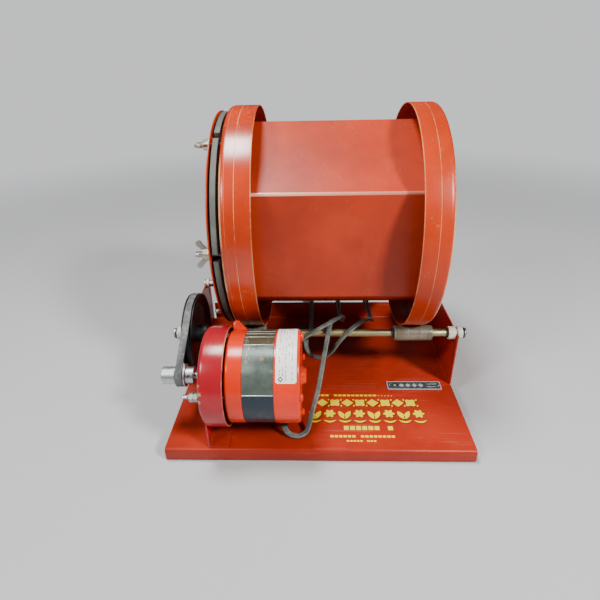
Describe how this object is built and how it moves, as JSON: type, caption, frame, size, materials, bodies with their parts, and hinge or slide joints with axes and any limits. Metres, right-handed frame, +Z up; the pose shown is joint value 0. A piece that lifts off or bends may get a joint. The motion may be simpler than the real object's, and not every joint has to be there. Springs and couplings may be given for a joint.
{
  "type": "rotary rock tumbler",
  "caption": "Belt-driven tumbler: a lidded hexagonal steel drum with a rubber liner rolls between round pans on two sleeved shafts in a folded steel base with a small motor.",
  "frame": {"origin": "on the floor under the middle of the machine: the centre of its footprint, cord left out, at the feet's lowest faces", "axes": "+X runs along the shafts away from the lid and the belt, +Y from the motor side at the front to the back, +Z up"},
  "size_m": [0.365, 0.4063, 0.3461],
  "materials": {
    "red_enamel": "semi-gloss dark red enamel, lightly worn",
    "motor_enamel": "glossy orange-red enamel",
    "cup_enamel": "glossy crimson enamel",
    "bright_steel": "bright plated steel",
    "brassy_steel": "ground steel with a brassy tarnish",
    "black_rubber": "matte black rubber",
    "sleeve_rubber": "aged translucent brown rubber tube",
    "nylon": "white nylon",
    "etched_plate": "black etched plate with bare metal border",
    "pulley_black": "black painted casting",
    "belt_rubber": "worn grey-black belt rubber",
    "lamination": "dark varnished steel laminations",
    "enamelled_copper": "varnished copper wire",
    "fan_aluminium": "plain pressed aluminium",
    "bronze": "sintered bronze",
    "label_white": "white vinyl label",
    "turned_aluminium": "turned aluminium",
    "cord_rubber": "dark grey flat twin cord"
  },
  "bodies": {
    "base": {"base_frame": "red_enamel", "foot_front_left": "black_rubber", "foot_front_right": "black_rubber", "foot_rear_left": "black_rubber", "foot_rear_right": "black_rubber", "nameplate": "etched_plate", "front_bushing_left": "nylon", "front_bushing_right": "nylon", "rear_bushing_left": "nylon", "rear_bushing_right": "nylon", "motor_mount": "cup_enamel", "motor_left_shell": "motor_enamel", "motor_right_shell": "motor_enamel", "stator": "lamination", "stator_winding": "enamelled_copper", "motor_bearing_left": "bronze", "motor_bearing_right": "bronze", "through_bolt_1": "bright_steel", "through_bolt_2": "bright_steel", "through_bolt_3": "bright_steel", "through_bolt_4": "bright_steel", "motor_label": "label_white", "strain_relief": "black_rubber", "drive_belt": "belt_rubber", "power_cord": "cord_rubber", "cord_coil": "cord_rubber", "plug": "black_rubber"},
    "front_shaft": {"front_shaft": "brassy_steel", "drive_sleeve_left": "sleeve_rubber", "drive_sleeve_right": "sleeve_rubber", "sleeve_ring": "black_rubber", "spacer_left": "black_rubber", "spacer_right": "black_rubber", "end_washer_left": "black_rubber", "end_washer_right": "black_rubber", "push_cap_left": "bright_steel", "push_cap_right": "bright_steel", "driven_pulley": "pulley_black", "driven_set_screw": "bright_steel"},
    "rear_shaft": {"rear_shaft": "bright_steel", "idler_sleeve_left": "sleeve_rubber", "idler_sleeve_right": "sleeve_rubber", "rear_clip_left": "bright_steel", "rear_clip_right": "bright_steel"},
    "motor_rotor": {"rotor": "bright_steel", "cooling_fan": "fan_aluminium", "motor_pulley": "turned_aluminium", "motor_set_screw": "bright_steel"},
    "drum": {"left_pan": "red_enamel", "right_pan": "red_enamel", "hex_shell": "red_enamel", "rubber_liner": "black_rubber"},
    "lid": {"lid_plate": "red_enamel", "lid_gasket": "black_rubber"},
    "wing_nut_1": {"wing_nut_1": "bright_steel"},
    "wing_nut_2": {"wing_nut_2": "bright_steel"},
    "wing_nut_3": {"wing_nut_3": "bright_steel"},
    "wing_nut_4": {"wing_nut_4": "bright_steel"},
    "wing_nut_5": {"wing_nut_5": "bright_steel"},
    "wing_nut_6": {"wing_nut_6": "bright_steel"}
  },
  "joints": [
    {"name": "drum_spin", "type": "hinge", "parent": "base", "child": "drum", "pos_m": [0, 0.0359, 0.21302], "axis": [1, 0, 0], "continuous": true},
    {"name": "front_shaft_spin", "type": "hinge", "parent": "base", "child": "front_shaft", "pos_m": [0, -0.0341, 0.0885], "axis": [1, 0, 0], "continuous": true},
    {"name": "rear_shaft_spin", "type": "hinge", "parent": "base", "child": "rear_shaft", "pos_m": [0, 0.1059, 0.0885], "axis": [1, 0, 0], "continuous": true},
    {"name": "motor_spin", "type": "hinge", "parent": "base", "child": "motor_rotor", "pos_m": [-0.1, -0.1144, 0.085], "axis": [1, 0, 0], "continuous": true},
    {"name": "lid_slide", "type": "slide", "parent": "drum", "child": "lid", "axis": [-1, 0, 0], "range_m": [0, 0.008]},
    {"name": "wing_nut_1_turn", "type": "hinge", "parent": "lid", "child": "wing_nut_1", "pos_m": [-0.1175, -0.07908, 0.21503], "axis": [1, 0, 0], "continuous": true},
    {"name": "wing_nut_2_turn", "type": "hinge", "parent": "lid", "child": "wing_nut_2", "pos_m": [-0.1175, -0.01985, 0.31361], "axis": [1, 0, 0], "continuous": true},
    {"name": "wing_nut_3_turn", "type": "hinge", "parent": "lid", "child": "wing_nut_3", "pos_m": [-0.1175, 0.09513, 0.3116], "axis": [1, 0, 0], "continuous": true},
    {"name": "wing_nut_4_turn", "type": "hinge", "parent": "lid", "child": "wing_nut_4", "pos_m": [-0.1175, 0.15088, 0.21102], "axis": [1, 0, 0], "continuous": true},
    {"name": "wing_nut_5_turn", "type": "hinge", "parent": "lid", "child": "wing_nut_5", "pos_m": [-0.1175, 0.09165, 0.11244], "axis": [1, 0, 0], "continuous": true},
    {"name": "wing_nut_6_turn", "type": "hinge", "parent": "lid", "child": "wing_nut_6", "pos_m": [-0.1175, -0.02333, 0.11445], "axis": [1, 0, 0], "continuous": true}
  ],
  "couplings": [
    {"joint": "front_shaft_spin", "follows": "drum_spin", "ratio": -14.037},
    {"joint": "rear_shaft_spin", "follows": "drum_spin", "ratio": -14.037},
    {"joint": "motor_spin", "follows": "drum_spin", "ratio": -70.184}
  ]
}
